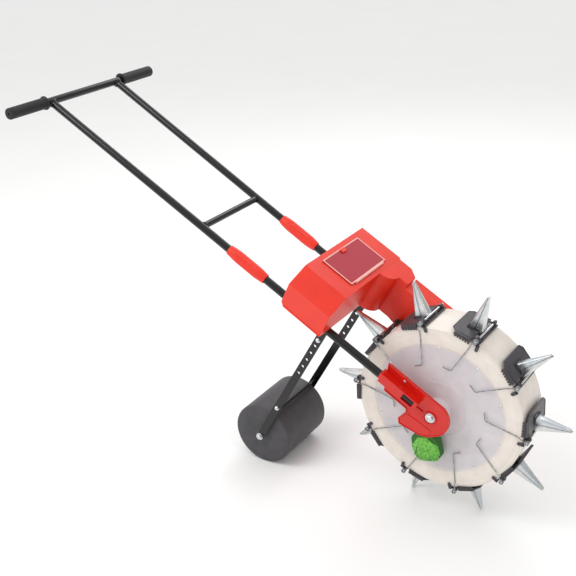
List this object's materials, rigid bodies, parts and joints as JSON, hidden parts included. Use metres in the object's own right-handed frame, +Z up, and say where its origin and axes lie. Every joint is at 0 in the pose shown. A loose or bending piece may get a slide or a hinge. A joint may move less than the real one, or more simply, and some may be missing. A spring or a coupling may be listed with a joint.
{
  "type": "push seeder",
  "caption": "Hand-pushed seed planter: duckbill seeding wheel with opening beaks, red hopper and duct, long tube handle and a rear press roller.",
  "frame": {"origin": "on the ground, under the middle of the object's length and width, standing on two beaks and the press roller", "axes": "+X forward toward the seeding wheel, +Y to the left, +Z up"},
  "size_m": [1.4706, 0.5606, 1.0099],
  "materials": {
    "red_abs": "moulded red ABS",
    "white_nylon": "natural white nylon",
    "green_nylon": "green nylon filament",
    "zinc_steel": "bright zinc plate",
    "black_enamel": "gloss black enamel",
    "rubber": "ribbed black rubber",
    "grey_plastic": "moulded dark grey plastic",
    "black_nylon": "moulded black nylon",
    "clear_lid": "clear tinted plastic"
  },
  "bodies": {
    "frame": {"lower_tube_near": "black_enamel", "lower_tube_far": "black_enamel", "handle_tube_near": "black_enamel", "handle_tube_far": "black_enamel", "tube_sleeve_near": "red_abs", "tube_sleeve_far": "red_abs", "handle_bar": "black_enamel", "grip_near": "rubber", "grip_far": "rubber", "cross_brace": "black_enamel", "hub_bracket_near": "red_abs", "hub_bracket_far": "red_abs", "hub_shaft": "zinc_steel", "seed_brush": "green_nylon", "seed_hopper": "red_abs", "seed_duct": "red_abs", "roller_arm_near": "black_enamel", "roller_arm_far": "black_enamel", "roller_axle": "zinc_steel", "roller_scraper": "black_enamel"},
    "wheel": {"wheel_near_disc": "white_nylon", "wheel_far_disc": "white_nylon", "wheel_rim": "white_nylon", "seed_divider": "white_nylon", "metering_roller": "white_nylon", "hub_bush_near": "black_nylon", "hub_bush_far": "black_nylon", "fixed_jaw_01": "zinc_steel", "fixed_jaw_02": "zinc_steel", "fixed_jaw_03": "zinc_steel", "fixed_jaw_04": "zinc_steel", "fixed_jaw_05": "zinc_steel", "fixed_jaw_06": "zinc_steel", "fixed_jaw_07": "zinc_steel", "fixed_jaw_08": "zinc_steel", "fixed_jaw_09": "zinc_steel", "fixed_jaw_10": "zinc_steel", "return_spring_01": "zinc_steel", "return_spring_02": "zinc_steel", "return_spring_03": "zinc_steel", "return_spring_04": "zinc_steel", "return_spring_05": "zinc_steel", "return_spring_06": "zinc_steel", "return_spring_07": "zinc_steel", "return_spring_08": "zinc_steel", "return_spring_09": "zinc_steel", "return_spring_10": "zinc_steel"},
    "jaw_01": {"moving_jaw_01": "zinc_steel"},
    "jaw_02": {"moving_jaw_02": "zinc_steel"},
    "jaw_03": {"moving_jaw_03": "zinc_steel"},
    "jaw_04": {"moving_jaw_04": "zinc_steel"},
    "jaw_05": {"moving_jaw_05": "zinc_steel"},
    "jaw_06": {"moving_jaw_06": "zinc_steel"},
    "jaw_07": {"moving_jaw_07": "zinc_steel"},
    "jaw_08": {"moving_jaw_08": "zinc_steel"},
    "jaw_09": {"moving_jaw_09": "zinc_steel"},
    "jaw_10": {"moving_jaw_10": "zinc_steel"},
    "roller": {"press_roller": "grey_plastic"},
    "lid": {"hopper_lid": "clear_lid", "lid_tab": "red_abs"}
  },
  "joints": [
    {"name": "wheel_spin", "type": "hinge", "parent": "frame", "child": "wheel", "pos_m": [0.4173, 0, 0.30352], "axis": [0, 1, 0], "continuous": true},
    {"name": "jaw_open_01", "type": "hinge", "parent": "wheel", "child": "jaw_01", "pos_m": [0.6473, 0, 0.27952], "axis": [0, -1, 0], "range_deg": [0, 5], "stiffness_Nm_per_rad": 0.4, "springref_deg": -11.46},
    {"name": "jaw_open_02", "type": "hinge", "parent": "wheel", "child": "jaw_02", "pos_m": [0.58927, 0, 0.14891], "axis": [0, -1, 0], "range_deg": [0, 5], "stiffness_Nm_per_rad": 0.4, "springref_deg": -11.46},
    {"name": "jaw_open_03", "type": "hinge", "parent": "wheel", "child": "jaw_03", "pos_m": [0.46555, 0, 0.07736], "axis": [0, -1, 0], "range_deg": [0, 5], "stiffness_Nm_per_rad": 0.4, "springref_deg": -11.46},
    {"name": "jaw_open_04", "type": "hinge", "parent": "wheel", "child": "jaw_04", "pos_m": [0.3234, 0, 0.09219], "axis": [0, -1, 0], "range_deg": [0, 5], "stiffness_Nm_per_rad": 0.4, "springref_deg": -11.46},
    {"name": "jaw_open_05", "type": "hinge", "parent": "wheel", "child": "jaw_05", "pos_m": [0.21712, 0, 0.18774], "axis": [0, -1, 0], "range_deg": [0, 5], "stiffness_Nm_per_rad": 0.4, "springref_deg": -11.46},
    {"name": "jaw_open_06", "type": "hinge", "parent": "wheel", "child": "jaw_06", "pos_m": [0.1873, 0, 0.32752], "axis": [0, -1, 0], "range_deg": [0, 5], "stiffness_Nm_per_rad": 0.4, "springref_deg": -11.46},
    {"name": "jaw_open_07", "type": "hinge", "parent": "wheel", "child": "jaw_07", "pos_m": [0.24533, 0, 0.45813], "axis": [0, -1, 0], "range_deg": [0, 5], "stiffness_Nm_per_rad": 0.4, "springref_deg": -11.46},
    {"name": "jaw_open_08", "type": "hinge", "parent": "wheel", "child": "jaw_08", "pos_m": [0.36905, 0, 0.52968], "axis": [0, -1, 0], "range_deg": [0, 5], "stiffness_Nm_per_rad": 0.4, "springref_deg": -11.46},
    {"name": "jaw_open_09", "type": "hinge", "parent": "wheel", "child": "jaw_09", "pos_m": [0.5112, 0, 0.51484], "axis": [0, -1, 0], "range_deg": [0, 5], "stiffness_Nm_per_rad": 0.4, "springref_deg": -11.46},
    {"name": "jaw_open_10", "type": "hinge", "parent": "wheel", "child": "jaw_10", "pos_m": [0.61748, 0, 0.41929], "axis": [0, -1, 0], "range_deg": [0, 5], "stiffness_Nm_per_rad": 0.4, "springref_deg": -11.46},
    {"name": "roller_spin", "type": "hinge", "parent": "frame", "child": "roller", "pos_m": [-0.10398, 0, 0.089], "axis": [0, 1, 0], "continuous": true},
    {"name": "lid_swing", "type": "hinge", "parent": "frame", "child": "lid", "pos_m": [0.19797, 0, 0.60742], "axis": [0, 1, 0], "range_deg": [0, 110]}
  ]
}
